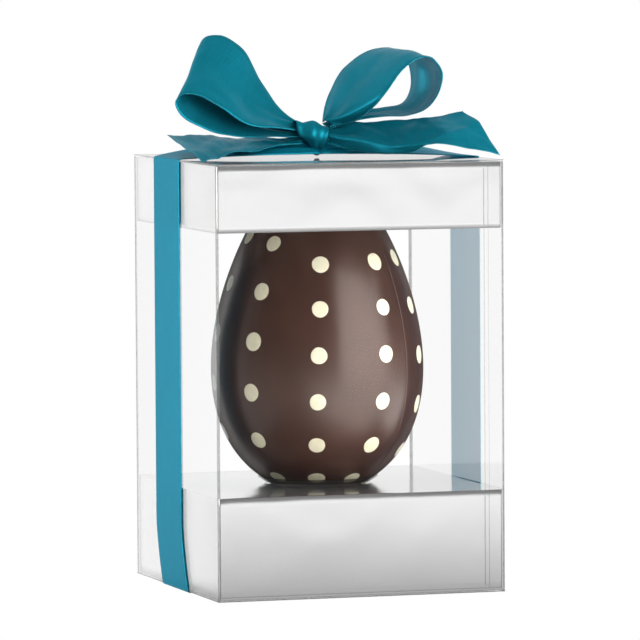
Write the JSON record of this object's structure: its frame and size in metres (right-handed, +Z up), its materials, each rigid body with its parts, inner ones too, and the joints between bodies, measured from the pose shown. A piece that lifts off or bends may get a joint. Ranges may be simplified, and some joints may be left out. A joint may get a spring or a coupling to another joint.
{
  "type": "boxed chocolate egg",
  "caption": "Dark egg with cream dots, standing on a silver plinth in a shut clear carton with a silver lid band, tied with a teal ribbon and a bow",
  "frame": {"origin": "on the ground under the middle of the carton", "axes": "+X to the right along the front wall, +Y from the front wall to the back wall, +Z up"},
  "size_m": [0.1314, 0.13, 0.2425],
  "materials": {
    "chocolate": "tempered dark chocolate, soft gloss, with cream dots",
    "clear_film": "thin clear film, glossy",
    "silver_card": "silver mirror film on card",
    "satin": "woven teal satin with a bright sheen"
  },
  "bodies": {
    "root": {"egg": "chocolate", "collar": "clear_film", "plinth": "silver_card", "lid_insert": "silver_card", "carton_walls": "clear_film", "carton_top": "clear_film", "ribbon_band": "satin", "bow_knot": "satin", "bow_loop_left": "satin", "bow_loop_right": "satin", "bow_tail_left": "satin", "bow_tail_right": "satin"}
  },
  "joints": []
}
